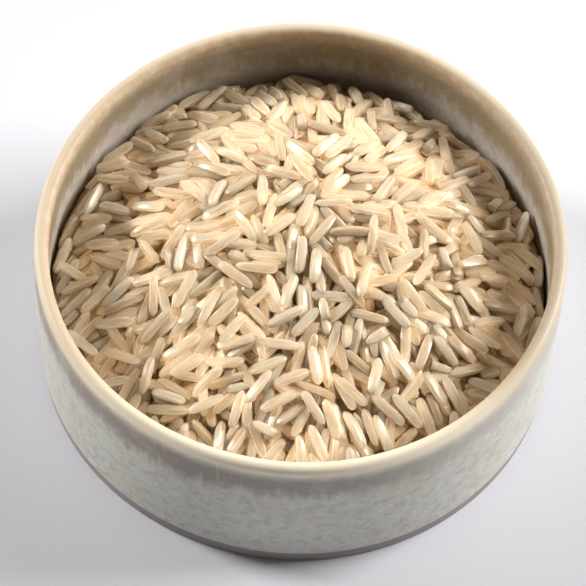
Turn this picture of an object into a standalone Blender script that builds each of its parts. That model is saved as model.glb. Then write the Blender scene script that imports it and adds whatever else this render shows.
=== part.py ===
"""A small straight-sided stoneware bowl heaped with uncooked brown rice, at real size, in metres.

The origin is the middle of the bowl's foot, on the surface that it stands on, with +Z up and -Y to the front.
"""

import math
import random

import bmesh
import bpy
from mathutils import Matrix, Vector

MM = 0.001
WELD = 0.01 * MM

# Bowl
BOWL_RADIUS = 46.0 * MM
BOWL_HEIGHT = 33.0 * MM
WALL_FOOT_RADIUS = 45.5 * MM
RIM_THICKNESS = 2.4 * MM
INNER_RADIUS = BOWL_RADIUS - RIM_THICKNESS
FLOOR_THICKNESS = 4.2 * MM
FLOOR_CORNER = 7.0 * MM
FOOT_HEIGHT = 2.8 * MM
FOOT_RADIUS = 45.2 * MM
FOOT_EDGE = 0.4 * MM
FOOT_STEP = 0.3 * MM
FOOT_RING_WIDTH = 6.0 * MM
FOOT_RECESS = 1.2 * MM
WIDEST_AT = 15.5 * MM
BOWL_SEGMENTS = 56
RIM_STEPS = 6
CORNER_STEPS = 4
SMOOTH_ANGLE = 40.0

# Heap of rice, whose crest lies behind the middle of the bowl
REST_GAP = 0.35 * MM
EDGE_BELOW_RIM = 14.6 * MM
CREST_BELOW_RIM = 0.3 * MM
CREST_AT = Vector((2.0 * MM, 10.0 * MM))
HEAP_ROUNDNESS = 1.8
HEAP_SEGMENTS = 26
HEAP_RINGS = 7
HEAP_UNEVENNESS = 0.25 * MM
SLOPE_STEP = 0.5 * MM

# One grain
GRAIN_LENGTH = 7.2 * MM
GRAIN_WIDTH = 1.95 * MM
GRAIN_THICKNESS = 1.65 * MM
GRAIN_SIDES = 5
GRAIN_BANDS = 4
GRAIN_SHOULDER = 1.22
GRAIN_SUNK = 0.4 * MM

# Grains that are fused onto the heap
GRAIN_COUNT = 230
GRAIN_TRIES = 9000
GRAIN_SPACING = 1.6 * MM
DOWNHILL_SPREAD = 60.0
TILT_SPREAD = 9.0
SEED = 11


def arc(centre, radius, start, end, steps):
    """Points of a circular arc in the (radius, height) plane, from start to end in degrees."""
    angles = [math.radians(start + (end - start) * i / steps) for i in range(steps + 1)]
    return [(centre[0] + radius * math.cos(a), centre[1] + radius * math.sin(a)) for a in angles]


def bowl_outline():
    """The bowl's half section: under the foot, up the outside, over the rim, down the inside to the axis."""
    lip = RIM_THICKNESS / 2
    ring_inner = FOOT_RADIUS - FOOT_RING_WIDTH
    underside = [(0.0, FOOT_RECESS), (ring_inner - FOOT_RECESS, FOOT_RECESS), (ring_inner, 0.0)]
    foot = [(FOOT_RADIUS - FOOT_EDGE, 0.0), (FOOT_RADIUS, FOOT_EDGE), (FOOT_RADIUS, FOOT_HEIGHT)]
    wall = [(WALL_FOOT_RADIUS, FOOT_HEIGHT + FOOT_STEP), (BOWL_RADIUS, WIDEST_AT)]
    rim = arc((BOWL_RADIUS - lip, BOWL_HEIGHT - lip), lip, 0, 180, RIM_STEPS)
    corner_centre = (INNER_RADIUS - FLOOR_CORNER, FLOOR_THICKNESS + FLOOR_CORNER)
    corner = arc(corner_centre, FLOOR_CORNER, 0, -90, CORNER_STEPS)
    return underside + foot + wall + rim + corner + [(0.0, FLOOR_THICKNESS)]


def turned(name, outline, segments):
    """A closed mesh made by turning a (radius, height) outline once round the Z axis."""
    bm = bmesh.new()
    points = [bm.verts.new((r, 0.0, z)) for r, z in outline]
    edges = [bm.edges.new(pair) for pair in zip(points, points[1:])]
    bmesh.ops.spin(
        bm,
        geom=points + edges,
        cent=(0, 0, 0),
        axis=(0, 0, 1),
        angle=2 * math.pi,
        steps=segments,
        use_merge=True,
    )
    bmesh.ops.remove_doubles(bm, verts=bm.verts, dist=WELD)
    bm.normal_update()
    bmesh.ops.recalc_face_normals(bm, faces=bm.faces)
    mesh = bpy.data.meshes.new(name)
    bm.to_mesh(mesh)
    bm.free()
    return mesh


def finish(name, colour, roughness):
    """A plain Principled material."""
    material = bpy.data.materials.new(name)
    material.use_nodes = True
    shader = material.node_tree.nodes["Principled BSDF"]
    shader.inputs["Base Color"].default_value = (*colour, 1.0)
    shader.inputs["Roughness"].default_value = roughness
    shader.inputs["Metallic"].default_value = 0.0
    return material


def add_object(name, mesh, material, collection):
    """An object for a mesh, with its finish, in a collection."""
    if not mesh.materials:
        mesh.materials.append(material)
    made = bpy.data.objects.new(name, mesh)
    collection.objects.link(made)
    return made


def heap_height(x, y):
    """Height of the rice's surface: it falls from the crest to the wall, by the share of the way gone."""
    here = Vector((x, y))
    away = here - CREST_AT
    if away.length < WELD:
        return BOWL_HEIGHT - CREST_BELOW_RIM
    direction = away.normalized()
    across = CREST_AT.dot(direction)
    to_wall = -across + math.sqrt(across**2 + INNER_RADIUS**2 - CREST_AT.length_squared)
    share = min(away.length / to_wall, 1.0)
    drop = (EDGE_BELOW_RIM - CREST_BELOW_RIM) * share**HEAP_ROUNDNESS
    return BOWL_HEIGHT - CREST_BELOW_RIM - drop


def heap_normal(x, y):
    """Upward normal of the heap's surface, from its slope over a short step."""
    step = SLOPE_STEP
    slope_x = (heap_height(x + step, y) - heap_height(x - step, y)) / (2 * step)
    slope_y = (heap_height(x, y + step) - heap_height(x, y - step)) / (2 * step)
    return Vector((-slope_x, -slope_y, 1.0)).normalized()


def heap_core(draw):
    """The solid mass under the loose grains. It fills the bowl with a small gap, and its top is slightly uneven."""
    side = INNER_RADIUS - REST_GAP
    floor = FLOOR_THICKNESS + REST_GAP
    corner = arc((side - FLOOR_CORNER, floor + FLOOR_CORNER), FLOOR_CORNER, -90, 0, CORNER_STEPS)
    top = [(side * i / HEAP_RINGS, BOWL_HEIGHT) for i in range(HEAP_RINGS, -1, -1)]
    mesh = turned("rice_heap", [(0.0, floor)] + corner + top, HEAP_SEGMENTS)
    sunk = GRAIN_THICKNESS / 2 - GRAIN_SUNK
    for vertex in mesh.vertices:
        if vertex.co.z > BOWL_HEIGHT - REST_GAP:
            lift = draw.uniform(-HEAP_UNEVENNESS, HEAP_UNEVENNESS)
            vertex.co.z = heap_height(vertex.co.x, vertex.co.y) - sunk + lift
    return mesh


def grain_mesh():
    """One grain along X: a five-sided spindle with full shoulders, of 30 triangles."""
    bm = bmesh.new()
    bmesh.ops.create_uvsphere(bm, u_segments=GRAIN_SIDES, v_segments=GRAIN_BANDS, radius=0.5)
    for vertex in bm.verts:
        x, y, z = vertex.co
        full = GRAIN_SHOULDER if abs(z) > WELD else 1.0
        vertex.co = (z * GRAIN_LENGTH, x * GRAIN_WIDTH * full, y * GRAIN_THICKNESS * full)
    mesh = bpy.data.meshes.new("grain")
    bm.to_mesh(mesh)
    bm.free()
    return mesh


def axis_points(centre, yaw):
    """Points along a grain's axis, seen from above."""
    half = (GRAIN_LENGTH - GRAIN_WIDTH) / 2
    along = Vector((math.cos(yaw), math.sin(yaw)))
    return [centre + along * half * share for share in (-1, -0.5, 0, 0.5, 1)]


def grain_places(draw):
    """(centre, yaw) of grains that lie side by side, most of them pointing downhill, by seeded trial and error."""
    places, taken = [], []
    reach = INNER_RADIUS - REST_GAP - GRAIN_WIDTH / 2
    for _ in range(GRAIN_TRIES):
        if len(places) == GRAIN_COUNT:
            break
        angle = draw.uniform(0, 2 * math.pi)
        distance = reach * math.sqrt(draw.random())
        centre = Vector((distance * math.cos(angle), distance * math.sin(angle)))
        downhill = centre - CREST_AT
        yaw = math.atan2(downhill.y, downhill.x) + math.radians(draw.gauss(0, DOWNHILL_SPREAD))
        points = axis_points(centre, yaw)
        if any(p.length > reach for p in points):
            continue
        near = (t for t in taken if (t[2] - centre).length < GRAIN_LENGTH)
        if any((p - q).length < GRAIN_SPACING for t in near for p in points for q in t):
            continue
        places.append((centre, yaw))
        taken.append(points)
    return places


def grain_pose(centre, yaw, draw):
    """Matrix that lays a grain on the heap's surface, turned by yaw and tipped a little at one end."""
    normal = heap_normal(*centre)
    ahead = Vector((math.cos(yaw), math.sin(yaw), 0.0))
    across = normal.cross(ahead).normalized()
    ahead = across.cross(normal)
    turn = Matrix((ahead, across, normal)).transposed().to_4x4()
    tip = Matrix.Rotation(math.radians(draw.gauss(0, TILT_SPREAD)), 4, "Y")
    place = Vector((*centre, heap_height(*centre)))
    return Matrix.Translation(place) @ turn @ tip


def keep_outer_shell(mesh):
    """Drops every part of the mesh but the largest, so that sealed hollows are filled and scraps are gone."""
    bm = bmesh.new()
    bm.from_mesh(mesh)
    left, islands = set(bm.verts), []
    while left:
        island, front = set(), [left.pop()]
        while front:
            vertex = front.pop()
            island.add(vertex)
            found = {e.other_vert(vertex) for e in vertex.link_edges} & left
            left -= found
            front.extend(found)
        islands.append(island)
    largest = max(islands, key=len)
    spare = [v for island in islands if island is not largest for v in island]
    bmesh.ops.delete(bm, geom=spare, context="VERTS")
    bm.to_mesh(mesh)
    bm.free()


def fuse(body, loose):
    """Joins the collection's objects to the body by one Boolean union, and removes them."""
    union = body.modifiers.new("fuse", "BOOLEAN")
    union.operation = "UNION"
    union.operand_type = "COLLECTION"
    union.collection = loose
    union.solver = "EXACT"
    with bpy.context.temp_override(object=body, active_object=body):
        bpy.ops.object.modifier_apply(modifier=union.name)
    for grain in list(loose.objects):
        bpy.data.objects.remove(grain)
    bpy.data.collections.remove(loose)
    keep_outer_shell(body.data)


def build_bowl(scene_objects):
    """The bowl, one turned solid with a rounded rim and a narrow foot."""
    mesh = turned("bowl", bowl_outline(), BOWL_SEGMENTS)
    mesh.shade_smooth()
    mesh.set_sharp_from_angle(angle=math.radians(SMOOTH_ANGLE))
    return add_object("bowl", mesh, finish("glazed_stoneware", (0.47, 0.46, 0.40), 0.35), scene_objects)


def build_rice(scene_objects):
    """The heap of rice, one solid: a core with grains of true size fused onto it."""
    draw = random.Random(SEED)
    husk = finish("brown_rice", (0.72, 0.58, 0.38), 0.45)
    heap = add_object("rice_heap", heap_core(draw), husk, scene_objects)
    loose = bpy.data.collections.new("loose_grains")
    scene_objects.children.link(loose)
    one = grain_mesh()
    for number, (centre, yaw) in enumerate(grain_places(draw)):
        grain = add_object(f"grain_{number}", one, husk, loose)
        grain.matrix_world = grain_pose(centre, yaw, draw)
    fuse(heap, loose)
    return heap


def main():
    for old in list(bpy.data.objects):
        bpy.data.objects.remove(old)
    scene_objects = bpy.context.scene.collection
    build_bowl(scene_objects)
    build_rice(scene_objects)


main()
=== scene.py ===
"""A glazed stoneware bowl heaped with uncooked brown rice: its glaze, its loose grains, and the studio.

Sizes are in metres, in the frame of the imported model: +Z up, -Y to the front, the foot's middle at the
origin. Finishes count in millimetres.
"""

import logging
import math
from dataclasses import dataclass, field
from enum import Enum
from typing import Any

import bpy
import numpy as np
from mathutils import Matrix, Vector

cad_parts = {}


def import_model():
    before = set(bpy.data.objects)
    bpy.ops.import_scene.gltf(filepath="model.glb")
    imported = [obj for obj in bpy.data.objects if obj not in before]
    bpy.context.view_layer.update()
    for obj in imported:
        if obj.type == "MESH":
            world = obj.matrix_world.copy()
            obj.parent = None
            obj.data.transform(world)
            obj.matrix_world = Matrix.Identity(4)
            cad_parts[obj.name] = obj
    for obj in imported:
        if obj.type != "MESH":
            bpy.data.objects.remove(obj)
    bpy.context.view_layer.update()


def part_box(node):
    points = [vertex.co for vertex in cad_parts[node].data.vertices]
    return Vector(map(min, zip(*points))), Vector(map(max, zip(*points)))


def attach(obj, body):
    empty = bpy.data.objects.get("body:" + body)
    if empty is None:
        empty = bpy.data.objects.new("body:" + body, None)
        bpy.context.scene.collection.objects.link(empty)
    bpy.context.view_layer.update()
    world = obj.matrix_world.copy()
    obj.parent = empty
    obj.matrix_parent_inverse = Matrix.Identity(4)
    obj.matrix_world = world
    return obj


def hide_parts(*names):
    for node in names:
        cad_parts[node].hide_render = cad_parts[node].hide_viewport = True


LOG = logging.getLogger("bowl_of_rice")
MM = 0.001
BODY = "root"
SCREEN_KNEE = 0.04045
SCREEN_SLOPE = 12.92
SCREEN_LIFT = 0.055
SCREEN_POWER = 2.4
Colour = tuple[float, float, float, float]


def paint(red: int, green: int, blue: int) -> Colour:
    """Turn a colour as a screen shows it, 0 to 255, into the linear colour that a shader takes.

    Formula: each channel's share of 255 is divided by the slope under the knee. Above it, the share and the
    lift, over one and the lift, are raised to the power.

    Args:
        red: Red, 0 to 255.
        green: Green, 0 to 255.
        blue: Blue, 0 to 255.

    Returns:
        The linear colour, with full alpha.
    """
    shares = (red / 255, green / 255, blue / 255)
    low = [share / SCREEN_SLOPE for share in shares]
    high = [((share + SCREEN_LIFT) / (1 + SCREEN_LIFT)) ** SCREEN_POWER for share in shares]
    linear = [a if share < SCREEN_KNEE else b for share, a, b in zip(shares, low, high)]
    return (linear[0], linear[1], linear[2], 1.0)


class Signal:
    """A number that varies over a surface: a shader socket with the arithmetic that the finishes use."""

    def __init__(self, tree: "FinishTree", socket: bpy.types.NodeSocket) -> None:
        """Wrap one output socket of a tree."""
        self.tree = tree
        self.socket = socket

    def _math(self, operation: str, *values: Any) -> "Signal":
        """Add a Math node and give its result."""
        made = self.tree.node("ShaderNodeMath", {"operation": operation}, dict(enumerate(values)))
        return Signal(self.tree, made.outputs[0])

    def __add__(self, other: Any) -> "Signal":
        """Sum."""
        return self._math("ADD", self, other)

    def __radd__(self, other: Any) -> "Signal":
        """Sum, from the right."""
        return self._math("ADD", other, self)

    def __sub__(self, other: Any) -> "Signal":
        """Difference."""
        return self._math("SUBTRACT", self, other)

    def __rsub__(self, other: Any) -> "Signal":
        """Difference, from the right."""
        return self._math("SUBTRACT", other, self)

    def __mul__(self, other: Any) -> "Signal":
        """Product."""
        return self._math("MULTIPLY", self, other)

    def __rmul__(self, other: Any) -> "Signal":
        """Product, from the right."""
        return self._math("MULTIPLY", other, self)

    def __pow__(self, other: Any) -> "Signal":
        """Power."""
        return self._math("POWER", self, other)

    def hypot(self, other: "Signal") -> "Signal":
        """Length of the pair: the root of the sum of squares."""
        return ((self * self) + (other * other)) ** 0.5

    def nearest_line(self, count: int) -> "Signal":
        """Distance to the nearest of some lines, spread evenly from 0 to 1, in shares of their spacing.

        Args:
            count: Number of lines. Each lies in the middle of its own share of the way.

        Returns:
            The distance, 0 on a line and a half between two.
        """
        off = self._math("FRACT", self * count) - 0.5
        return self._math("ABSOLUTE", off)

    def step(self, low: Any, high: Any) -> "Signal":
        """Smooth step from 0 at low to 1 at high."""
        made = self.tree.node(
            "ShaderNodeMapRange",
            {"interpolation_type": "SMOOTHSTEP"},
            {"Value": self, "From Min": low, "From Max": high},
        )
        return Signal(self.tree, made.outputs[0])

    def fade(self, low: Any, high: Any) -> "Signal":
        """Smooth step from 1 at low to 0 at high."""
        return 1.0 - self.step(low, high)


class FinishTree:
    """The node tree of one material, with a Principled shader at its end."""

    def __init__(self, name: str) -> None:
        """Make the material and find its shader.

        Args:
            name: The material's name.
        """
        self.material = bpy.data.materials.new(name)
        self.material.use_nodes = True
        self.tree = self.material.node_tree
        self.shader = self.tree.nodes["Principled BSDF"]

    def _put(self, socket: bpy.types.NodeSocket, value: Any) -> None:
        """Link or set one input socket.

        Args:
            socket: The socket.
            value: A signal or another socket to link, or a plain value to set.
        """
        if isinstance(value, Signal):
            self.tree.links.new(value.socket, socket)
        elif isinstance(value, bpy.types.NodeSocket):
            self.tree.links.new(value, socket)
        else:
            socket.default_value = value

    def node(self, kind: str, settings: dict[str, Any], sockets: dict[Any, Any]) -> bpy.types.Node:
        """Add a node of any type.

        Args:
            kind: Blender's name of the node's type.
            settings: The node's own properties, set first.
            sockets: Input sockets by name or number, with a value or a link for each.

        Returns:
            The node.
        """
        made = self.tree.nodes.new(kind)
        for key, value in settings.items():
            setattr(made, key, value)
        for key, value in sockets.items():
            self._put(made.inputs[key], value)
        return made

    def dress(self, **sockets: Any) -> bpy.types.Material:
        """Set the shader's sockets.

        Args:
            **sockets: A value or a link for each, by its name with _ for each blank.

        Returns:
            The material.
        """
        for key, value in sockets.items():
            self._put(self.shader.inputs[key.replace("_", " ")], value)
        return self.material

    def attribute(self, name: str) -> Signal:
        """A number that the mesh holds under a name."""
        made = self.node("ShaderNodeAttribute", {"attribute_name": name}, {})
        return Signal(self, made.outputs["Fac"])

    def place(self) -> tuple[Signal, Signal, Signal]:
        """Find the point's place in the object.

        Returns:
            Its X, Y and Z in millimetres.
        """
        here = self.node("ShaderNodeTexCoord", {}, {})
        parts = self.node("ShaderNodeSeparateXYZ", {}, {0: here.outputs["Object"]})
        per_mm = 1 / MM
        return tuple(Signal(self, out) * per_mm for out in parts.outputs)

    def husk_place(self) -> tuple[Signal, Signal]:
        """Find the point's place on a grain's husk.

        Returns:
            How far along it, and how far round it, both 0 to 1.
        """
        here = self.node("ShaderNodeTexCoord", {}, {})
        parts = self.node("ShaderNodeSeparateXYZ", {}, {0: here.outputs["UV"]})
        return Signal(self, parts.outputs[0]), Signal(self, parts.outputs[1])

    def noise(self, x: Any, y: Any, z: Any, detail: float = 2.0, roughness: float = 0.5) -> Signal:
        """Smooth noise, whose blotches are about one unit of x, y and z across.

        Args:
            x: First number that it varies with.
            y: Second one.
            z: Third one.
            detail: Number of finer layers on top of the first.
            roughness: How strong each finer layer is against the one before.

        Returns:
            The noise, 0 to 1.
        """
        vector = self.node("ShaderNodeCombineXYZ", {}, {0: x, 1: y, 2: z})
        made = self.node(
            "ShaderNodeTexNoise",
            {"noise_dimensions": "3D"},
            {"Vector": vector.outputs[0], "Scale": 1.0, "Detail": detail, "Roughness": roughness},
        )
        return Signal(self, made.outputs["Fac"])

    def mix(self, under: Any, over: Any, share: Any) -> bpy.types.NodeSocket:
        """Lay one colour over another.

        Args:
            under: The colour underneath.
            over: The colour on top.
            share: How far it covers, 0 to 1.

        Returns:
            The mixed colour.
        """
        made = self.tree.nodes.new("ShaderNodeMix")
        made.data_type = "RGBA"
        by_id = {socket.identifier: socket for socket in made.inputs}
        self._put(by_id["Factor_Float"], share)
        self._put(by_id["A_Color"], under)
        self._put(by_id["B_Color"], over)
        return next(out for out in made.outputs if out.identifier == "Result_Color")

    def bump(self, height: Signal, depth: float) -> bpy.types.NodeSocket:
        """A normal that follows a height of 0 to 1, whose full relief is depth metres."""
        made = self.node("ShaderNodeBump", {}, {"Strength": 1.0, "Distance": depth, "Height": height})
        return made.outputs["Normal"]


@dataclass(frozen=True)
class Patches:
    """Blotches of noise: how fine they are across and up, where they start, and how rough they are."""

    across: float
    up: float
    start: float = 0.0
    detail: float = 3.0
    roughness: float = 0.5

    def on(self, tree: FinishTree, x: Signal, y: Signal, z: Signal) -> Signal:
        """The noise, 0 to 1, at a place in millimetres."""
        return tree.noise(
            x * self.across, y * self.across, z * self.up + self.start, self.detail, self.roughness
        )


@dataclass(frozen=True)
class Wash:
    """How a colour is laid by a number: from none at low to its full share at high, or the other way."""

    low: float
    high: float
    share: float = 1.0

    def above(self, signal: Signal) -> Signal:
        """The share that grows with the number."""
        return signal.step(self.low, self.high) * self.share

    def under(self, signal: Signal) -> Signal:
        """The share that falls with the number."""
        return signal.fade(self.low, self.high) * self.share


@dataclass(frozen=True)
class StonewareGlaze:
    """The bowl's glaze, with lengths in millimetres.

    The lip is cream, a taupe band under it runs down in drips, and the body is grey-green with pale flecks.
    Light and shade are painted in as well: a highlight on the lip towards the front, shade on the lip
    towards the right, and light on the outer band towards the right.
    """

    name: str = "glazed_stoneware"
    lip: Colour = paint(226, 210, 184)
    # Painted highlight: a paler lip colour towards the front, standing in for the sheen that the lights
    # behind the bowl raise there.
    lip_painted_highlight: Colour = paint(255, 246, 224)
    lip_edge: Colour = paint(206, 176, 144)
    band: Colour = paint(144, 134, 123)
    band_inside: Colour = paint(158, 144, 121)
    body: Colour = paint(198, 200, 193)
    body_warm: Colour = paint(200, 198, 180)
    body_inside: Colour = paint(206, 200, 192)
    fleck: Colour = paint(234, 235, 228)
    streak: Colour = paint(206, 204, 198)
    foot: Colour = paint(154, 148, 151)
    seam: float = 0.3
    drip_drop: float = 9.0
    drip_wander: float = 5.0
    drip_spread: float = 6.0
    drip_softness: float = 2.6
    feather_depth: float = 5.0
    wander_patches: Patches = Patches(0.09, 0.0, 3.0, 1.0)
    drip_patches: Patches = Patches(0.55, 0.06, roughness=0.6)
    feather_patches: Patches = Patches(0.8, 0.35, roughness=0.6)
    cloud_patches: Patches = Patches(0.16, 0.16)
    mottle_patches: Patches = Patches(0.5, 0.6, 20.0, roughness=0.55)
    streak_patches: Patches = Patches(0.9, 0.13, 9.0, roughness=0.62)
    fleck_patches: Patches = Patches(0.55, 0.8, 4.0, 2.0, 0.6)
    speck_patches: Patches = Patches(1.7, 1.9, 14.0, 1.0)
    lip_patches: Patches = Patches(0.5, 0.5, roughness=0.6)
    foot_patches: Patches = Patches(0.8, 0.8, detail=2.0)
    grit_patches: Patches = Patches(3.0, 3.0, detail=2.0)
    warm_wash: Wash = Wash(0.45, 0.7, 0.8)
    mottle_wash: Wash = Wash(0.36, 0.55, 0.3)
    fleck_wash: Wash = Wash(0.57, 0.7, 0.34)
    fleck_loss_inside: float = 0.6
    speck_wash: Wash = Wash(0.62, 0.76, 0.35)
    streak_wash: Wash = Wash(0.52, 0.7)
    streak_share: float = 0.12
    streak_gain_inside: float = 0.6
    band_cloud_wash: Wash = Wash(0.5, 0.75, 0.35)
    band_streak_wash: Wash = Wash(0.56, 0.72, 0.22)
    band_speck_wash: Wash = Wash(0.64, 0.76, 0.25)
    # Painted light: the outer band turns paler towards the right, the side that the right softbox lights.
    band_painted_light_wash: Wash = Wash(2.0, 34.0, 0.5)
    lip_depth: float = 1.5
    lip_waver: float = 1.2
    lip_fade: tuple[float, float] = (0.4, 3.0)
    inner_lip_fade: tuple[float, float] = (-1.0, 0.1)
    inner_lip_lift: float = 0.65
    inner_lip_wash: Wash = Wash(0.3, 0.9, 0.9)
    # Painted shade: the lip turns band-coloured towards the right.
    lip_painted_shade_wash: Wash = Wash(22.0, 44.0, 0.42)
    # Where the painted highlight on the lip fades in, by the place from front to back.
    lip_highlight_wash: Wash = Wash(-44.0, -20.0, 0.9)
    foot_waver: float = 0.5
    foot_fade: tuple[float, float] = (-0.15, 0.25)
    grit_wash: Wash = Wash(0.55, 0.8, 0.25)
    streak_relief: float = 0.5
    fleck_relief: float = 0.25
    grit_relief: float = 0.1
    foot_relief: float = 0.6
    relief_depth: float = 0.07
    roughness: float = 0.36
    foot_roughness: float = 0.4
    lip_roughness: float = 0.12
    cloud_roughness: float = 0.15
    glass_ior: float = 1.5

    def _drip_edge(self, tree: FinishTree, x: Signal, y: Signal, z: Signal) -> Signal:
        """Find where the band ends, as it wanders round the wall and runs down in drips.

        Args:
            tree: The glaze's tree.
            x: Place from left to right, in millimetres.
            y: Place from front to back.
            z: Height.

        Returns:
            Its depth under the rim, in millimetres.
        """
        wander = self.wander_patches.on(tree, x, y, z) - 0.5
        drip = self.drip_patches.on(tree, x, y, z) - 0.5
        return self.drip_drop + wander * self.drip_wander + drip * self.drip_spread

    def material(self, rim: float, middle: float, foot: float) -> bpy.types.Material:
        """Build the material.

        Args:
            rim: Height of the rim.
            middle: Radius of the middle of the wall.
            foot: Height of the glaze's lower edge.

        Returns:
            The glaze, with the bare foot under it.
        """
        tree = FinishTree(self.name)
        x, y, z = tree.place()
        radius = x.hypot(y)
        inside = radius.fade(middle - self.seam, middle + self.seam)
        below = rim - z

        edge = self._drip_edge(tree, x, y, z)
        feather = self.feather_patches.on(tree, x, y, z) - 0.5
        feathered = below + feather * self.feather_depth
        in_body = feathered.step(edge - self.drip_softness, edge + self.drip_softness)

        cloud = self.cloud_patches.on(tree, x, y, z)
        mottle = self.mottle_patches.on(tree, x, y, z)
        streaks = self.streak_patches.on(tree, x, y, z)
        flecks = self.fleck_patches.on(tree, x, y, z)
        specks = self.speck_patches.on(tree, x, y, z)

        body = tree.mix(self.body, self.body_warm, self.warm_wash.above(cloud))
        body = tree.mix(body, self.body_inside, inside)
        body = tree.mix(body, self.band, self.mottle_wash.under(mottle))
        fleck_share = self.fleck_wash.above(flecks) * (1.0 - inside * self.fleck_loss_inside)
        body = tree.mix(body, self.fleck, fleck_share)
        body = tree.mix(body, self.fleck, self.speck_wash.above(specks))
        streak_share = self.streak_share + inside * self.streak_gain_inside
        body = tree.mix(body, self.streak, self.streak_wash.above(streaks) * streak_share)

        band = tree.mix(self.band, self.band_inside, inside)
        band = tree.mix(band, self.body_inside, self.band_cloud_wash.above(cloud))
        pale = self.band_streak_wash.above(streaks) + self.band_speck_wash.above(specks)
        band = tree.mix(band, self.streak, pale)
        # Painted light on the outer band, growing towards the right.
        band = tree.mix(band, self.streak, self.band_painted_light_wash.above(x) * (1.0 - inside))
        colour = tree.mix(band, body, in_body)

        lip_noise = self.lip_patches.on(tree, x, y, z) - 0.5
        lip_start, lip_end = (self.lip_depth * share for share in self.lip_fade)
        on_lip = (below + lip_noise * self.lip_waver).fade(lip_start, lip_end)
        inner_start, inner_end = (middle + reach for reach in self.inner_lip_fade)
        inner_lip = radius.fade(inner_start, inner_end)
        toasted = self.inner_lip_wash.above(lip_noise + self.inner_lip_lift)
        lip = tree.mix(self.lip, self.lip_edge, inner_lip * toasted)
        # Painted shade on the lip, growing towards the right.
        lip = tree.mix(lip, self.band, self.lip_painted_shade_wash.above(x))
        # Painted highlight: the lip turns paler towards the front.
        lip = tree.mix(lip, self.lip_painted_highlight, self.lip_highlight_wash.under(y))
        colour = tree.mix(colour, lip, on_lip)

        foot_noise = self.foot_patches.on(tree, x, y, z) - 0.5
        foot_start, foot_end = (foot + reach for reach in self.foot_fade)
        bare = (z + foot_noise * self.foot_waver).fade(foot_start, foot_end)
        grit = self.grit_patches.on(tree, x, y, z)
        colour = tree.mix(colour, tree.mix(self.foot, self.lip_edge, self.grit_wash.above(grit)), bare)

        relief = streaks * self.streak_relief + flecks * self.fleck_relief
        relief = relief + grit * (self.grit_relief + bare * self.foot_relief)
        rough = self.roughness + bare * self.foot_roughness + on_lip * self.lip_roughness
        rough = rough + (cloud - 0.5) * self.cloud_roughness
        return tree.dress(
            Base_Color=colour,
            Roughness=rough,
            Normal=tree.bump(relief, self.relief_depth * MM),
            IOR=self.glass_ior,
        )


@dataclass(frozen=True)
class HuskFinish:
    """A dry grain's skin: translucent and streaked, with painted highlight lines along its ridges, a cloudy
    belly and a germ.
    """

    name: str
    light: Colour
    dark: Colour
    streak: Colour
    chalk: float
    belly: Colour = paint(222, 211, 190)
    # Colour of the painted highlight lines along the ridges.
    ridge_highlight: Colour = paint(246, 241, 231)
    germ: Colour = paint(215, 191, 155)
    glow_reach: tuple[float, float, float] = (1.7, 1.6, 1.5)
    groove_noise: tuple[float, float, float] = (1.6, 9.0, 37.0)
    cloud_noise: tuple[float, float, float] = (2.4, 1.6, 53.0)
    cloud_start: float = 5.0
    tint_share: float = 0.85
    cloud_tint: float = 0.5
    streak_wash: Wash = Wash(0.5, 0.68, 0.75)
    between_wash: Wash = Wash(0.3, 0.46, 0.7)
    belly_edge: tuple[float, float] = (0.6, 0.8)
    belly_share: float = 0.25
    chalk_edge: float = 0.4
    chalk_share: float = 0.6
    # The painted highlight: lines along the ridges, how thin they are, and where they break.
    highlight_lines: int = 4
    ridge_highlight_wash: Wash = Wash(0.03, 0.1)
    ridge_highlight_breaks: Wash = Wash(0.35, 0.6, 0.7)
    germ_wash: Wash = Wash(0.9, 0.97, 0.6)
    roughness: float = 0.24
    groove_roughness: float = 0.3
    groove_depth: float = 0.16
    subsurface: float = 1.0
    bran_sheen: float = 0.2
    bran_sheen_roughness: float = 0.1
    bran_ior: float = 1.45

    def material(self) -> bpy.types.Material:
        """Build the material from the place on the grain, and each grain's tint and seed.

        Returns:
            The skin. Its light spreads from grain to grain as far as glow_reach, in millimetres of red,
            green and blue.
        """
        tree = FinishTree(self.name)
        along, around = tree.husk_place()
        tint = tree.attribute("tint")
        seed = tree.attribute("seed")

        run, turn, apart = self.groove_noise
        grooves = tree.noise(along * run, around * turn, seed * apart, 2.0, 0.6)
        run, turn, apart = self.cloud_noise
        cloud = tree.noise(along * run, around * turn, seed * apart + self.cloud_start, 2.0, 0.5)
        # The tint mixes each grain's random tone with painted shade for the deeper grains.
        shade = (tint * self.tint_share + (cloud - 0.5) * self.cloud_tint).step(0.0, 1.0)
        skin = tree.mix(self.light, self.dark, shade)
        skin = tree.mix(skin, self.streak, self.streak_wash.above(grooves))
        skin = tree.mix(skin, self.belly, self.between_wash.under(grooves))
        belly_start, belly_end = self.belly_edge
        chalky = cloud.step(belly_start - self.chalk * self.chalk_edge, belly_end)
        skin = tree.mix(skin, self.belly, chalky * (self.belly_share + self.chalk * self.chalk_share))
        # Painted highlight: where a grain's ridges lie, round the husk.
        on_ridge_highlight = self.ridge_highlight_wash.under(around.nearest_line(self.highlight_lines))
        skin = tree.mix(skin, self.germ, self.germ_wash.above(along))
        # Painted highlight: fine pale lines along the ridges, broken by the cloud, stand in for the glints
        # that the lights raise there.
        skin = tree.mix(skin, self.ridge_highlight, on_ridge_highlight * self.ridge_highlight_breaks.above(cloud))
        tree.shader.subsurface_method = "BURLEY"
        return tree.dress(
            Base_Color=skin,
            Roughness=self.roughness + (grooves - 0.5) * self.groove_roughness,
            Normal=tree.bump(grooves, self.groove_depth * MM),
            Subsurface_Weight=self.subsurface,
            Subsurface_Radius=self.glow_reach,
            Subsurface_Scale=1.0 * MM,
            Coat_Weight=self.bran_sheen,
            Coat_Roughness=self.bran_sheen_roughness,
            IOR=self.bran_ior,
        )


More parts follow.
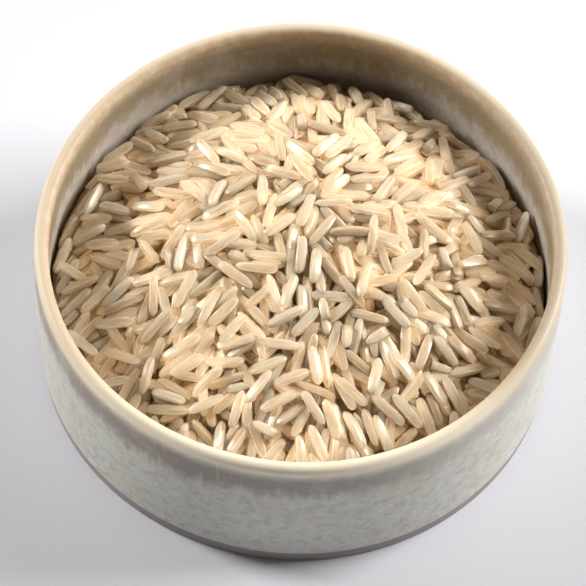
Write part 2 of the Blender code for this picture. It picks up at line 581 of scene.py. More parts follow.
@dataclass(frozen=True)
class ShadedRice:
    """The mass of rice under the loose grains, which shows only as warm shade in the gaps."""

    name: str = "rice_core"
    light: Colour = paint(254, 222, 180)
    dark: Colour = paint(250, 202, 154)
    patches: Patches = Patches(0.45, 0.45, roughness=0.6)
    light_wash: Wash = Wash(0.35, 0.7)
    roughness: float = 0.55
    patch_roughness: float = 0.2
    relief_depth: float = 0.4

    def material(self) -> bpy.types.Material:
        """Build the material, in blotches of a grain's size.

        Returns:
            The warm, matt mass.
        """
        tree = FinishTree(self.name)
        x, y, z = tree.place()
        blotch = self.patches.on(tree, x, y, z)
        return tree.dress(
            Base_Color=tree.mix(self.dark, self.light, self.light_wash.above(blotch)),
            Roughness=self.roughness + (blotch - 0.5) * self.patch_roughness,
            Normal=tree.bump(blotch, self.relief_depth * MM),
        )


@dataclass(frozen=True)
class PaleFloor:
    """The plain pale surface that the bowl stands on."""

    name: str = "pale_floor"
    colour: Colour = paint(230, 233, 245)
    roughness: float = 0.7

    def material(self) -> bpy.types.Material:
        """Build the material."""
        return FinishTree(self.name).dress(Base_Color=self.colour, Roughness=self.roughness)


def add_piece(mesh: bpy.types.Mesh, material: bpy.types.Material, smooth: bool = True) -> bpy.types.Object:
    """Put a mesh into the scene as an object at the origin.

    Args:
        mesh: The finished mesh, whose name the object takes.
        material: Its finish.
        smooth: Whether its faces are shaded smooth.

    Returns:
        The object.
    """
    mesh.materials.append(material)
    mesh.polygons.foreach_set("use_smooth", np.full(len(mesh.polygons), smooth))
    made = bpy.data.objects.new(mesh.name, mesh)
    bpy.context.scene.collection.objects.link(made)
    return made


def stand_for(piece: bpy.types.Object, node: str) -> None:
    """Let a piece ride on the one body and stand for a solid, which is hidden.

    Args:
        piece: The piece.
        node: The solid that it stands for.
    """
    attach(piece, BODY)
    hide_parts(node)
    LOG.info("%s: %d faces, stands for %s", piece.name, len(piece.data.polygons), node)


def turned_mesh(name: str, rings: np.ndarray) -> bpy.types.Mesh:
    """A closed mesh from rings of points, with one point at each end.

    Args:
        name: The mesh's name.
        rings: Points of shape (rings, round, 3). The first and the last ring are each closed by a fan to
            their mean point. The rings run so that faces point outwards: from under the foot, outside, up.

    Returns:
        The mesh.
    """
    count, around = rings.shape[:2]
    points = np.concatenate([rings.reshape(-1, 3), rings[[0, -1]].mean(axis=1)])
    here = np.arange(count * around).reshape(count, around)
    right = np.roll(here, -1, axis=1)
    quads = np.stack([here[:-1], right[:-1], right[1:], here[1:]], axis=-1).reshape(-1, 4)
    first, last = count * around, count * around + 1
    start_fan = np.stack([right[0], here[0], np.full(around, first)], axis=-1)
    end_fan = np.stack([here[-1], right[-1], np.full(around, last)], axis=-1)
    mesh = bpy.data.meshes.new(name)
    mesh.from_pydata(points.tolist(), [], quads.tolist() + start_fan.tolist() + end_fan.tolist())
    mesh.update()
    return mesh


def arc(centre: tuple[float, float], radius: float, start: float, end: float, steps: int) -> np.ndarray:
    """Points of a circular arc in the (radius, height) plane: the centre plus radius times cosine and sine.

    Args:
        centre: The arc's centre.
        radius: Its radius.
        start: First angle in degrees.
        end: Last angle in degrees.
        steps: Number of steps between them.

    Returns:
        Points of shape (steps + 1, 2).
    """
    angles = np.radians(np.linspace(start, end, steps + 1))
    return np.stack([centre[0] + radius * np.cos(angles), centre[1] + radius * np.sin(angles)], axis=-1)


def line(start: tuple[float, float], end: tuple[float, float], steps: int) -> np.ndarray:
    """Evenly spaced points of a straight line in the (radius, height) plane.

    Args:
        start: First point.
        end: Last point.
        steps: Number of steps between them.

    Returns:
        Points of shape (steps + 1, 2).
    """
    share = np.linspace(0, 1, steps + 1)[:, None]
    return np.array(start) * (1 - share) + np.array(end) * share


@dataclass
class Bowl:
    """The stoneware bowl: a thrown wall with a rounded lip, a narrow bare foot and a recess under it."""

    radius: float
    height: float
    foot_wall_radius: float = 45.5 * MM
    rim_thickness: float = 2.4 * MM
    floor_thickness: float = 4.2 * MM
    floor_corner: float = 7.0 * MM
    foot_height: float = 2.8 * MM
    foot_radius: float = 45.2 * MM
    foot_edge: float = 0.4 * MM
    foot_ring_width: float = 6.0 * MM
    foot_recess: float = 1.2 * MM
    glaze_roll: float = 0.45 * MM
    widest_at: float = 15.5 * MM
    ring_bevel: tuple[float, float] = (0.7, 0.9)
    ring_gap: float = 0.3 * MM
    foot_face: tuple[float, float] = (0.45, 0.97)
    edge_arc: tuple[float, float] = (-67.0, 0.0)
    roll_arc: tuple[float, float] = (-62.0, 0.0)
    lip_arc: tuple[float, float] = (0.0, 180.0)
    corner_arc: tuple[float, float] = (-9.0, -90.0)
    middle_fan: float = 4.0 * MM
    floor_gap: float = 2.0 * MM
    wall_gap: float = 1.2 * MM
    lip_gap: float = 0.4 * MM
    around: int = 224
    wobble: tuple[tuple[int, float, float], ...] = (
        (2, 0.22 * MM, 40.0),
        (3, 0.10 * MM, 200.0),
        (5, 0.05 * MM, 75.0),
    )
    wobble_at_foot: float = 0.4
    wall_starts: tuple[float, float] = (0.7, 0.9)
    ridges_start: float = 0.12
    rim_wave: float = 0.12 * MM
    rim_wave_turn: float = 110.0
    rim_wave_power: int = 4
    throwing_ridge: float = 0.03 * MM
    throwing_pitch: float = 2.6 * MM
    finish: StonewareGlaze = field(default_factory=StonewareGlaze)

    @property
    def inner_radius(self) -> float:
        """Radius of the inner wall."""
        return self.radius - self.rim_thickness

    def outline(self) -> np.ndarray:
        """The half section: from the middle of the underside, up the outside, over the lip, to the floor.

        Returns:
            Points of shape (n, 2) as (radius, height).
        """
        lip = self.rim_thickness / 2
        ring = self.foot_radius - self.foot_ring_width
        recess, edge = self.foot_recess, self.foot_edge
        foot, roll = self.foot_height, self.glaze_roll
        low, high = (foot * share for share in self.foot_face)
        bevel_in, bevel_up = (recess * share for share in self.ring_bevel)
        lip_low = self.height - lip - self.lip_gap
        corner = (self.inner_radius - self.floor_corner, self.floor_thickness + self.floor_corner)
        floor_start = (corner[0] - self.floor_gap, self.floor_thickness)
        parts = [
            line((self.middle_fan, recess), (ring - recess, recess), 6),
            line((ring - bevel_in, bevel_up), (ring, 0.0), 3),
            line((ring + self.ring_gap, 0.0), (self.foot_radius - edge, 0.0), 3),
            arc((self.foot_radius - edge, edge), edge, *self.edge_arc, 3),
            line((self.foot_radius, low), (self.foot_radius, high), 2),
            arc((self.foot_wall_radius - roll, foot + roll), roll, *self.roll_arc, 4)[:-1],
            line((self.foot_wall_radius, foot + 2 * roll), (self.radius, self.widest_at), 12),
            line((self.radius, self.widest_at + self.wall_gap), (self.radius, lip_low), 14),
            arc((self.radius - lip, self.height - lip), lip, *self.lip_arc, 14),
            line((self.inner_radius, lip_low), (self.inner_radius, corner[1]), 18),
            arc(corner, self.floor_corner, *self.corner_arc, 9),
            line(floor_start, (self.middle_fan, self.floor_thickness), 6),
        ]
        return np.concatenate(parts)

    def rings(self) -> np.ndarray:
        """The turned points, with a thrown pot's slight waves.

        Formula: each point's radius is the outline's, plus cosines of two, three and five times the angle
        that grow with height, plus shallow ridges by height. The rim's height waves once round.

        Returns:
            Points of shape (rings, around, 3).
        """
        radius, height = self.outline().T
        angle = np.linspace(0, 2 * np.pi, self.around, endpoint=False)
        grow = np.clip(height / self.height, 0, 1)[:, None]
        wave = sum(size * np.cos(times * (angle - math.radians(turn))) for times, size, turn in self.wobble)
        wave = wave[None, :] * (self.wobble_at_foot + (1 - self.wobble_at_foot) * grow)
        start, end = (share * self.radius for share in self.wall_starts)
        near_wall = np.clip((radius - start) / (end - start), 0, 1)[:, None]
        ridge = self.throwing_ridge * np.sin(2 * np.pi * height / self.throwing_pitch)[:, None]
        reach = radius[:, None] + near_wall * (wave + ridge * (grow > self.ridges_start))
        high = self.rim_wave * grow**self.rim_wave_power
        lift = high * np.cos(angle - math.radians(self.rim_wave_turn))[None, :] - high
        z = height[:, None] + lift
        return np.stack([reach * np.cos(angle), reach * np.sin(angle), z], axis=-1)

    def build(self) -> bpy.types.Object:
        """Make the bowl and dress it in its glaze.

        Returns:
            The bowl.
        """
        mesh = turned_mesh("stoneware_bowl", self.rings())
        middle = self.radius - self.rim_thickness / 2
        glaze = self.finish.material(self.height / MM, middle / MM, self.foot_height / MM)
        bowl = add_piece(mesh, glaze)
        stand_for(bowl, "bowl")
        return bowl


class GrainKind(Enum):
    """The kinds of grain that lie in the heap, each one piece."""

    CREAM = "cream"
    TAN = "tan"
    GREENISH = "greenish"
    CHALKY = "chalky"
    BROKEN = "broken"


@dataclass(frozen=True)
class KindLook:
    """How common a kind is, how long its grains are, and its skin."""

    share: float
    length: tuple[float, float]
    finish: HuskFinish


CREAM_LIGHT = paint(226, 213, 189)
CREAM_DARK = paint(216, 185, 142)
CREAM_STREAK = paint(210, 178, 136)
LOOKS: dict[GrainKind, KindLook] = {
    GrainKind.CREAM: KindLook(
        share=0.7,
        length=(6.6 * MM, 7.7 * MM),
        finish=HuskFinish(
            "husk_cream", CREAM_LIGHT, CREAM_DARK, CREAM_STREAK, chalk=0.1, glow_reach=(5.2, 4.5, 3.9)
        ),
    ),
    GrainKind.TAN: KindLook(
        share=0.15,
        length=(6.4 * MM, 7.6 * MM),
        finish=HuskFinish(
            "husk_tan", paint(219, 200, 171), paint(206, 172, 129), paint(199, 160, 117), chalk=0.0
        ),
    ),
    GrainKind.GREENISH: KindLook(
        share=0.03,
        length=(6.2 * MM, 7.4 * MM),
        finish=HuskFinish(
            "husk_greenish", paint(225, 208, 172), paint(214, 184, 139), paint(208, 175, 130), chalk=0.0
        ),
    ),
    GrainKind.CHALKY: KindLook(
        share=0.05,
        length=(6.4 * MM, 7.4 * MM),
        finish=HuskFinish(
            "husk_chalky", paint(232, 219, 197), paint(220, 193, 157), paint(212, 181, 142), chalk=0.4
        ),
    ),
    GrainKind.BROKEN: KindLook(
        share=0.07,
        length=(5.8 * MM, 7.2 * MM),
        finish=HuskFinish("husk_broken", CREAM_LIGHT, CREAM_DARK, CREAM_STREAK, chalk=0.3),
    ),
}


@dataclass(frozen=True)
class GrainShape:
    """A long grain along X: full in the middle, blunt at its germ end, pointed at the other, and ridged."""

    stations: tuple[float, ...] = (-0.98, -0.86, -0.6, -0.1, 0.45, 0.78, 0.93, 0.99)
    pointed_powers: tuple[float, float] = (4.2, 0.58)
    blunt_powers: tuple[float, float] = (6.0, 0.5)
    broken_at: float = 0.2
    break_step: float = 0.02
    break_reaches: float = 0.9
    sides: int = 8
    ridges: int = 4
    ridge: float = 0.045
    notch: float = 0.544
    notch_start: float = 0.6
    notch_run: float = 0.35
    tip_droop: float = 0.08

    def fullness(self, u: np.ndarray) -> np.ndarray:
        """Half width at a place along the grain.

        Formula: one less the size of u to a power, all to another power, with its own pair of powers
        towards each end.

        Args:
            u: Places from -1 to 1.

        Returns:
            Shares of the widest half width, of the same shape.
        """
        size = np.minimum(np.abs(u), 1.0)
        inner, outer = self.pointed_powers
        blunt_inner, blunt_outer = self.blunt_powers
        return np.where(u < 0, (1 - size**inner) ** outer, (1 - size**blunt_inner) ** blunt_outer)

    def points(self, broken: bool) -> np.ndarray:
        """The grain's points for a length, width and thickness of 2.

        Formula: at each station, a ring of half width times cosine and sine of the angle, swollen at the
        ridges, and cut back on one side near the germ. The two ends are single points.

        Args:
            broken: Whether the grain ends in a flat break.

        Returns:
            Points of shape (rings times sides + 2, 3).
        """
        u = np.array(self.stations)
        if broken:
            cut = self.broken_at - self.break_step * (u < self.break_reaches)
            u = np.where(u > self.broken_at, cut, u)
        angle = np.arange(self.sides) * 2 * np.pi / self.sides
        full = self.fullness(u)[:, None] * (1 - self.ridge * np.cos(self.ridges * angle))[None, :]
        across = full * np.cos(angle)
        up = full * np.sin(angle)
        germ = np.clip((u - self.notch_start) / self.notch_run, 0, 1)[:, None]
        up = up - np.clip(up, 0, None) * self.notch * germ
        rings = np.stack([np.broadcast_to(u[:, None], across.shape), across, up], axis=-1).reshape(-1, 3)
        tip = [self.broken_at, 0.0, 0.0] if broken else [1.0, 0.0, -self.tip_droop]
        return np.concatenate([rings, [[-1.0, 0.0, 0.0], tip]])

    def faces(self) -> tuple[np.ndarray, np.ndarray]:
        """The grain's faces.

        Returns:
            Quads of shape (q, 4) and fan triangles of shape (t, 3), as point numbers.
        """
        count, sides = len(self.stations), self.sides
        here = np.arange(count * sides).reshape(count, sides)
        right = np.roll(here, -1, axis=1)
        quads = np.stack([here[:-1], here[1:], right[1:], right[:-1]], axis=-1).reshape(-1, 4)
        pointed = np.stack([here[0], right[0], np.full(sides, count * sides)], axis=-1)
        blunt = np.stack([right[-1], here[-1], np.full(sides, count * sides + 1)], axis=-1)
        return quads, np.concatenate([pointed, blunt])

    def on_ridge(self, ends: np.ndarray) -> np.ndarray:
        """Find the edges that run along the ridges.

        Args:
            ends: The two point numbers of each edge, of shape (edges, 2).

        Returns:
            Whether each edge does.
        """
        ring_points = len(self.stations) * self.sides
        lengthwise = (ends < ring_points).all(axis=1) & (np.abs(ends[:, 0] - ends[:, 1]) == self.sides)
        return lengthwise & (ends[:, 0] % 2 == 1)

    def husk_places(self, broken: bool) -> np.ndarray:
        """Each face corner's place on the husk, in the order of faces().

        Args:
            broken: Whether the grain ends in a flat break.

        Returns:
            Places of shape (corners, 2): along the husk, and round it, both 0 to 1.
        """
        sides = self.sides
        u = self.points(broken)[:, 0] * 0.5 + 0.5
        quads, fans = self.faces()
        side = np.tile(np.arange(sides), len(self.stations) - 1)
        round_quads = np.stack([side, side, side + 1, side + 1], axis=-1) / sides
        fan_side = np.arange(sides)
        pointed = np.stack([fan_side, fan_side + 1, fan_side + 0.5], axis=-1) / sides
        blunt = np.stack([fan_side + 1, fan_side, fan_side + 0.5], axis=-1) / sides
        along = np.concatenate([u[quads].ravel(), u[fans].ravel()])
        around = np.concatenate([round_quads.ravel(), pointed.ravel(), blunt.ravel()])
        return np.stack([along, around], axis=-1)


@dataclass
class Grains:
    """A batch of grains of one kind: where each lies, how it points, and how large it is."""

    centre: np.ndarray
    ahead: np.ndarray
    across: np.ndarray
    size: np.ndarray
    bend: np.ndarray
    # Each grain's tint: a random tone, plus painted shade for grains that lie deep.
    tint: np.ndarray
    seed: np.ndarray
    shape: GrainShape
    broken: bool
    bend_rests: float = 0.4

    def mesh(self, name: str) -> bpy.types.Mesh:
        """Join the batch into one mesh, as arrays.

        Formula: each grain's point is its centre plus the shape's point, scaled by half the grain's size
        and bent by the square of its place along the grain, along the grain's own three directions.

        Args:
            name: The mesh's name.

        Returns:
            The mesh, with a husk place for each corner and a tint and seed for each point.
        """
        unit = self.shape.points(self.broken)
        count, each = len(self.centre), len(unit)
        local = unit[None, :, :] * (self.size / 2)[:, None, :]
        local[:, :, 2] += self.bend[:, None] * (self.bend_rests - unit[None, :, 0] ** 2)
        up = np.cross(self.ahead, self.across)
        points = (
            self.centre[:, None, :]
            + local[:, :, 0:1] * self.ahead[:, None, :]
            + local[:, :, 1:2] * self.across[:, None, :]
            + local[:, :, 2:3] * up[:, None, :]
        )
        quads, fans = self.shape.faces()
        offset = (np.arange(count) * each)[:, None]
        corners = np.concatenate([quads.ravel(), fans.ravel()])
        starts = np.concatenate([np.arange(len(quads)) * 4, len(quads) * 4 + np.arange(len(fans)) * 3])
        loops = (corners[None, :] + offset).ravel()
        loop_starts = (starts[None, :] + (np.arange(count) * len(corners))[:, None]).ravel()

        mesh = bpy.data.meshes.new(name)
        mesh.vertices.add(count * each)
        mesh.vertices.foreach_set("co", points.astype(np.float32).ravel())
        mesh.loops.add(len(loops))
        mesh.loops.foreach_set("vertex_index", loops.astype(np.int32))
        mesh.polygons.add(len(loop_starts))
        mesh.polygons.foreach_set("loop_start", loop_starts.astype(np.int32))
        mesh.update(calc_edges=True)
        ends = np.empty(len(mesh.edges) * 2, dtype=np.int32)
        mesh.edges.foreach_get("vertices", ends)
        crisp = mesh.attributes.new("sharp_edge", "BOOLEAN", "EDGE")
        crisp.data.foreach_set("value", self.shape.on_ridge(ends.reshape(-1, 2) % each))
        husk = mesh.uv_layers.new(name="husk")
        places = np.tile(self.shape.husk_places(self.broken), (count, 1))
        husk.data.foreach_set("uv", places.astype(np.float32).ravel())
        for label, values in (("tint", self.tint), ("seed", self.seed)):
            held = mesh.attributes.new(label, "FLOAT", "POINT")
            held.data.foreach_set("value", np.repeat(values, each).astype(np.float32))
        mesh.validate()
        return mesh


@dataclass
class RiceHeap:
    """The heap: a hidden core, and loose grains that settle on it one by one until the mound is full."""

    inner_radius: float
    rim_height: float
    floor_height: float
    floor_corner: float
    rest_gap: float = 0.35 * MM
    wall_gap: float = 0.2 * MM
    edge_below_rim: float = 14.6 * MM
    crest_below_rim: float = 0.3 * MM
    crest_x: float = 2.0 * MM
    crest_y: float = 10.0 * MM
    roundness: float = 1.8
    layer: float = 2.5 * MM
    core_around: int = 160
    core_top_rings: int = 44
    core_middle: float = 1.0 * MM
    core_under_middle: float = 3.0 * MM
    core_corner_gap: float = 2.0 * MM
    core_bumps: float = 0.35 * MM
    cell: float = 0.25 * MM
    spare_cells: int = 4
    most_grains: int = 3000
    candidates: int = 20
    patience: int = 260
    under_depth: float = 0.8 * MM
    under_sink: float = 0.85 * MM
    top_sink: float = 0.5 * MM
    over_target: float = 0.4 * MM
    downhill_spread: float = 42.0
    stray_share: float = 0.22
    length: tuple[float, float] = (6.4 * MM, 7.7 * MM)
    width: tuple[float, float] = (1.8 * MM, 2.15 * MM)
    thickness: tuple[float, float] = (1.45 * MM, 1.8 * MM)
    steepest: float = 0.62
    slopes_tried: int = 41
    felt_along: tuple[float, float, int] = (-0.9, 0.9, 9)
    felt_aside: tuple[float, ...] = (-0.75, -0.35, 0.0, 0.35, 0.75)
    roll_spread: float = 0.4
    bend: tuple[float, float] = (-0.22 * MM, 0.3 * MM)
    chance_powers: tuple[float, float] = (2.0, 2.4)
    chance_tint: float = 0.5
    # Painted shade: grains deeper under the mound's surface, up to this depth, take the darker tint by this
    # share.
    painted_shade_depth: float = 2.0 * MM
    buried_painted_shade: float = 0.7
    seed: int = 7
    shape: GrainShape = field(default_factory=GrainShape)
    core_finish: ShadedRice = field(default_factory=ShadedRice)

    def __post_init__(self) -> None:
        """Start the seeded draws."""
        self.draw = np.random.default_rng(self.seed)

    def surface(self, x: np.ndarray, y: np.ndarray) -> np.ndarray:
        """Height of the mound's surface.

        Formula: it falls from the crest to the wall by the share of the way gone, raised to roundness.

        Args:
            x: Places from left to right.
            y: Places from front to back.

        Returns:
            Heights, of the same shape.
        """
        dx, dy = x - self.crest_x, y - self.crest_y
        away = np.hypot(dx, dy) + 1e-9
        along = (self.crest_x * dx + self.crest_y * dy) / away
        crest_out = self.crest_x**2 + self.crest_y**2
        to_wall = -along + np.sqrt(along**2 + self.inner_radius**2 - crest_out)
        share = np.minimum(away / to_wall, 1.0)
        drop = (self.edge_below_rim - self.crest_below_rim) * share**self.roundness
        return self.rim_height - self.crest_below_rim - drop

    def core_rings(self) -> np.ndarray:
        """The core's points: up the side from under the middle, then in over its bumpy top.

        Formula: the top is the mound's surface, less the layer of loose grains, plus seeded bumps.

        Returns:
            Points of shape (rings, around, 3).
        """
        around = self.core_around
        side = self.inner_radius - self.rest_gap
        floor = self.floor_height + self.rest_gap
        flat_end = side - self.floor_corner
        corner = arc((flat_end, floor + self.floor_corner), self.floor_corner, -90, 0, 6)
        under = line((self.core_under_middle, floor), (flat_end - self.core_corner_gap, floor), 4)
        profile = np.concatenate([under, corner])
        angle = np.linspace(0, 2 * np.pi, around, endpoint=False)
        turn = np.stack([np.cos(angle), np.sin(angle)], axis=-1)
        lower = np.concatenate(
            [
                profile[:, None, 0:1] * turn[None],
                np.broadcast_to(profile[:, None, 1:2], (len(profile), around, 1)),
            ],
            axis=-1,
        )
        reach = np.linspace(side, self.core_middle, self.core_top_rings)
        flat = reach[:, None, None] * turn[None]
        bumps = self.draw.normal(0, self.core_bumps, flat.shape[:2])
        z = self.surface(flat[..., 0], flat[..., 1]) - self.layer + bumps
        top = np.concatenate([flat, z[..., None]], axis=-1)
        return np.concatenate([lower, top])

    def settle(self) -> dict[str, np.ndarray]:
        """Lay grains one by one on the height of what lies there already.

        A closely packed under layer comes first, whose grains sink into each other. Then comes the layer
        that shows.

        Returns:
            Arrays of the grains' centres, yaws, slopes, lengths, widths and thicknesses.
        """
        half = math.ceil(self.inner_radius / self.cell) + self.spare_cells
        grid = (np.arange(2 * half + 1) - half) * self.cell
        grid_x, grid_y = np.meshgrid(grid, grid, indexing="ij")
        height = self.surface(grid_x, grid_y) - self.layer
        found: list[tuple[float, ...]] = []
        for depth, sink in ((self.under_depth, self.under_sink), (0.0, self.top_sink)):
            found += self._lay(height, grid_x, grid_y, half, depth, sink)
            LOG.info("%d grains have settled", len(found))
        columns = np.array(found).T
        names = ("x", "y", "z", "yaw", "slope", "length", "width", "thickness")
        return dict(zip(names, columns))

    def _lay(
        self,
        height: np.ndarray,
        grid_x: np.ndarray,
        grid_y: np.ndarray,
        half: int,
        depth: float,
        sink: float,
    ) -> list[tuple[float, ...]]:
        """Lay one layer of grains, and add them to the height.

        Each time some places are tried. A grain comes to rest as a rod does on uneven ground: of all
        slopes, the one with its middle lowest, held by what is under it. The place that lies lowest against
        the mound's surface wins, and the grain's top is added to the height. It ends when no place is left.

        Args:
            height: Height of what lies at each cell already.
            grid_x: Each cell's place from left to right.
            grid_y: Each cell's place from front to back.
            half: Number of the middle cell, both ways.
            depth: How far under the mound's surface the layer ends.
            sink: How far a grain sinks into what it lies on.

        Returns:
            The place, yaw, slope and size of each grain.
        """
        u = np.linspace(*self.felt_along)
        side_v = np.array(self.felt_aside)
        full = self.shape.fullness(u)
        slopes = np.linspace(-self.steepest, self.steepest, self.slopes_tried)
        found: list[tuple[float, ...]] = []
        misses = 0
        while len(found) < self.most_grains and misses < self.patience:
            length = self.draw.uniform(*self.length)
            width = self.draw.uniform(*self.width)
            thick = self.draw.uniform(*self.thickness)
            x, y, yaw = self._propose(length, width)
            if len(x) == 0:
                continue
            ahead = np.stack([np.cos(yaw), np.sin(yaw)], axis=-1)
            reach = (u * length / 2)[None, :, None]
            aside = (side_v[None, :] * full[:, None] * width / 2)[None]
            run_x, run_y = ahead[:, 0, None, None], ahead[:, 1, None, None]
            px = x[:, None, None] + run_x * reach - run_y * aside
            py = y[:, None, None] + run_y * reach + run_x * aside
            ix = np.clip(np.rint(px / self.cell).astype(int) + half, 0, 2 * half)
            iy = np.clip(np.rint(py / self.cell).astype(int) + half, 0, 2 * half)
            under = thick / 2 * full[:, None] * np.sqrt(1 - side_v**2)[None, :]
            held = (height[ix, iy] + under[None]).max(axis=2) - sink
            middle = (held[:, None, :] - slopes[None, :, None] * reach[:, None, :, 0]).max(axis=2)
            best = middle.argmin(axis=1)
            z = middle[np.arange(len(x)), best]
            slope = slopes[best]
            over = z - self.surface(x, y) + depth
            pick = int(over.argmin())
            if over[pick] > self.over_target:
                misses += 1
                continue
            misses = 0
            grain = (x[pick], y[pick], z[pick], yaw[pick], slope[pick], length, width, thick)
            found.append(grain)
            self._raise(height, grid_x, grid_y, half, grain)
        return found

    def _propose(self, length: float, width: float) -> tuple[np.ndarray, np.ndarray, np.ndarray]:
        """Draw places inside the wall, most of them pointing downhill from the crest.

        Args:
            length: The grain's length.
            width: Its width.

        Returns:
            X, Y and yaw of each place where the grain fits.
        """
        count = self.candidates
        room = self.inner_radius - self.rest_gap
        turn = self.draw.uniform(0, 2 * np.pi, count)
        far = (room - width / 2) * np.sqrt(self.draw.uniform(0, 1, count))
        x, y = far * np.cos(turn), far * np.sin(turn)
        downhill = np.arctan2(y - self.crest_y, x - self.crest_x)
        yaw = downhill + np.radians(self.draw.normal(0, self.downhill_spread, count))
        stray = self.draw.uniform(0, 1, count) < self.stray_share
        yaw = np.where(stray, self.draw.uniform(0, 2 * np.pi, count), yaw)
        end_x, end_y = np.cos(yaw) * length / 2, np.sin(yaw) * length / 2
        farthest = np.maximum(np.hypot(x + end_x, y + end_y), np.hypot(x - end_x, y - end_y))
        fits = farthest < room - self.wall_gap
        return x[fits], y[fits], yaw[fits]

    def _raise(
        self,
        height: np.ndarray,
        grid_x: np.ndarray,
        grid_y: np.ndarray,
        half: int,
        grain: tuple[float, ...],
    ) -> None:
        """Raise the height of the cells under a grain to its upper side.

        Formula: the upper side is the middle's height, plus slope times the way along, plus half the
        thickness times the fullness there times the root of one less the square of the way aside.

        Args:
            height: Height of what lies at each cell already. It is changed.
            grid_x: Each cell's place from left to right.
            grid_y: Each cell's place from front to back.
            half: Number of the middle cell, both ways.
            grain: The grain's place, yaw, slope, length, width and thickness.
        """
        x, y, z, yaw, slope, length, width, thick = grain
        span = math.ceil(length / 2 / self.cell) + 1
        i, j = round(x / self.cell) + half, round(y / self.cell) + half
        window = (slice(max(i - span, 0), i + span + 1), slice(max(j - span, 0), j + span + 1))
        dx, dy = grid_x[window] - x, grid_y[window] - y
        along = dx * math.cos(yaw) + dy * math.sin(yaw)
        aside = -dx * math.sin(yaw) + dy * math.cos(yaw)
        full = self.shape.fullness(along / (length / 2)) * (np.abs(along) < length / 2)
        inside = 1 - (aside / np.maximum(full * width / 2, 1e-6)) ** 2
        top = z + slope * along + thick / 2 * full * np.sqrt(np.clip(inside, 0, None))
        height[window] = np.where(inside > 0, np.maximum(height[window], top), height[window])

    def batches(self) -> dict[GrainKind, Grains]:
        """Settle the grains and share them out among the kinds.

        Returns:
            One batch for each kind.
        """
        laid = self.settle()
        count = len(laid["x"])
        shares = np.cumsum([look.share for look in LOOKS.values()])
        lot = np.searchsorted(shares / shares[-1], self.draw.uniform(0, 1, count))
        flip = np.where(self.draw.uniform(0, 1, count) < 0.5, 1.0, -1.0)
        roll = self.draw.normal(0, self.roll_spread, count)
        roll = roll + np.pi * (self.draw.uniform(0, 1, count) < 0.5)
        bend = self.draw.uniform(*self.bend, count)
        # Painted shade: deeper grains get a darker, warmer tint, standing in for the shade between the
        # grains.
        depth_shade = (self.surface(laid["x"], laid["y"]) - laid["z"]) / self.painted_shade_depth
        chance = self.draw.beta(*self.chance_powers, count)
        tint = chance * self.chance_tint + np.clip(depth_shade, 0, 1) * self.buried_painted_shade
        seed = self.draw.uniform(0, 1, count)
        run = np.stack([np.cos(laid["yaw"]), np.sin(laid["yaw"]), laid["slope"]], axis=-1)
        run = run / np.linalg.norm(run, axis=1, keepdims=True) * flip[:, None]
        level = np.stack([-run[:, 1], run[:, 0], np.zeros(count)], axis=-1)
        level = level / np.linalg.norm(level, axis=1, keepdims=True)
        up = np.cross(run, level)
        across = level * np.cos(roll)[:, None] + up * np.sin(roll)[:, None]
        centre = np.stack([laid["x"], laid["y"], laid["z"]], axis=-1)
        size = np.stack([laid["length"], laid["width"], laid["thickness"]], axis=-1)
        made = {}
        for number, (kind, look) in enumerate(LOOKS.items()):
            own = lot == number
            low, high = look.length
            own_size = size[own].copy()
            own_size[:, 0] = np.clip(own_size[:, 0], low, high)
            made[kind] = Grains(
                centre[own],
                run[own],
                across[own],
                own_size,
                bend[own],
                tint[own],
                seed[own],
                self.shape,
                kind is GrainKind.BROKEN,
            )
        return made

    def build(self) -> list[bpy.types.Object]:
        """Make the core and the grains.

        Returns:
            The core, and one piece for each kind.
        """
        core = add_piece(turned_mesh("rice_core", self.core_rings()), self.core_finish.material())
        pieces = [core]
        for kind, batch in self.batches().items():
            pieces.append(add_piece(batch.mesh(f"grains_{kind.value}"), LOOKS[kind].finish.material()))
        for piece in pieces:
            stand_for(piece, "rice_heap")
        return pieces


@dataclass(frozen=True)
class SoftBox:
    """A square soft light that hangs beside the bowl."""

    name: str
    place: tuple[float, float, float]
    size: float
    watts: float
    tint: Colour = paint(255, 251, 244)

    def hang(self, target: Vector) -> None:
        """Hang the light.

        Args:
            target: The point that it faces.
        """
        lamp = bpy.data.lights.new(self.name, "AREA")
        lamp.size = self.size
        lamp.energy = self.watts
        lamp.color = self.tint[:3]
        made = bpy.data.objects.new(self.name, lamp)
        bpy.context.scene.collection.objects.link(made)
        made.location = self.place
        made.rotation_euler = (target - Vector(self.place)).to_track_quat("-Z", "Y").to_euler()


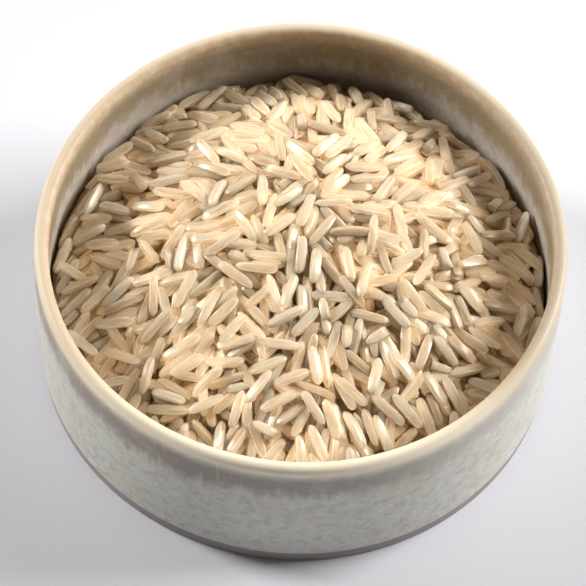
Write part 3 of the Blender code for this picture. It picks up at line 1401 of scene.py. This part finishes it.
@dataclass
class Studio:
    """A pale floor, soft light from two low sides, and the camera at the photograph's angle."""

    rim_centre: Vector
    frame_px: float = 586.0
    focal_px: float = 4267.0
    sensor_mm: float = 36.0
    distance: float = 0.736
    elevation: float = 57.6
    roll: float = 4.0
    rim_at_px: tuple[float, float] = (302.0, 239.1)
    floor_reach: float = 3.0
    sky: Colour = paint(246, 232, 214)
    sky_strength: float = 0.11
    sky_lean: tuple[float, float, float] = (0.0, 0.3, 0.0)
    softboxes: tuple[SoftBox, ...] = (
        SoftBox("softbox_left", (-0.971, 0.297, 0.528), 0.3, 12.6),
        SoftBox("softbox_right", (0.929, 0.338, 0.581), 0.6, 18.6),
    )
    floor_finish: PaleFloor = field(default_factory=PaleFloor)

    def build_light(self) -> None:
        """Hang the lights and set the sky and the tone curve.

        Formula: the sky's strength is its even strength times one more than the direction's share of the
        lean, so that it is brighter behind the bowl than in front of it.
        """
        world = bpy.data.worlds.new("studio")
        world.use_nodes = True
        tree = world.node_tree
        background = tree.nodes["Background"]
        background.inputs["Color"].default_value = self.sky
        direction = tree.nodes.new("ShaderNodeTexCoord")
        lean = tree.nodes.new("ShaderNodeVectorMath")
        lean.operation = "DOT_PRODUCT"
        lean.inputs[1].default_value = self.sky_lean
        strength = tree.nodes.new("ShaderNodeMath")
        strength.operation = "MULTIPLY_ADD"
        strength.inputs[1].default_value = self.sky_strength
        strength.inputs[2].default_value = self.sky_strength
        tree.links.new(direction.outputs["Generated"], lean.inputs[0])
        tree.links.new(lean.outputs["Value"], strength.inputs[0])
        tree.links.new(strength.outputs[0], background.inputs["Strength"])
        scene = bpy.context.scene
        scene.world = world
        scene.view_settings.view_transform = "Standard"
        for softbox in self.softboxes:
            softbox.hang(self.rim_centre)

    def build_floor(self) -> None:
        """Lay the floor."""
        reach = self.floor_reach
        mesh = bpy.data.meshes.new("floor")
        corners = [(-reach, -reach, 0), (reach, -reach, 0), (reach, reach, 0), (-reach, reach, 0)]
        mesh.from_pydata(corners, [], [(0, 1, 2, 3)])
        add_piece(mesh, self.floor_finish.material(), smooth=False)

    def build_camera(self) -> None:
        """Set up the camera.

        The line of sight to the rim's centre has the photograph's elevation. The camera is then turned so
        that the centre falls on its pixel, and rolled about its own axis.
        """
        rise = math.radians(self.elevation)
        sight = Vector((0.0, math.cos(rise), -math.sin(rise)))
        lean = math.radians(self.roll)
        right, up = Vector((1.0, 0.0, 0.0)), Vector((0.0, math.sin(rise), math.cos(rise)))
        rolled_right = right * math.cos(lean) + up * math.sin(lean)
        rolled_up = up * math.cos(lean) - right * math.sin(lean)
        per_px = self.distance / self.focal_px
        aside = (self.rim_at_px[0] - self.frame_px / 2) * per_px
        above = (self.frame_px / 2 - self.rim_at_px[1]) * per_px
        place = self.rim_centre - sight * self.distance
        aim = self.rim_centre - rolled_right * aside - rolled_up * above
        forward = (aim - place).normalized()
        across = forward.cross(rolled_up).normalized()
        turn = Matrix((across, across.cross(forward), -forward)).transposed()
        data = bpy.data.cameras.new("camera")
        data.sensor_width = self.sensor_mm
        data.lens = self.focal_px / self.frame_px * self.sensor_mm
        camera = bpy.data.objects.new("camera", data)
        camera.matrix_world = Matrix.Translation(place) @ turn.to_4x4()
        bpy.context.scene.collection.objects.link(camera)
        bpy.context.scene.camera = camera

    def build(self) -> None:
        """Build the floor, the light and the camera."""
        self.build_floor()
        self.build_light()
        self.build_camera()
        LOG.info("studio: a floor, %d softboxes and a camera", len(self.softboxes))


def main() -> None:
    """Build the bowl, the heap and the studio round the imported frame."""
    logging.basicConfig(level=logging.INFO, format="%(message)s")
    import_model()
    bowl_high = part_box("bowl")[1]
    bowl = Bowl(radius=bowl_high.x, height=bowl_high.z)
    bowl.build()
    heap = RiceHeap(bowl.inner_radius, bowl.height, bowl.floor_thickness, bowl.floor_corner)
    heap.build()
    Studio(Vector((0.0, 0.0, bowl.height))).build()


if __name__ == "__main__":
    main()
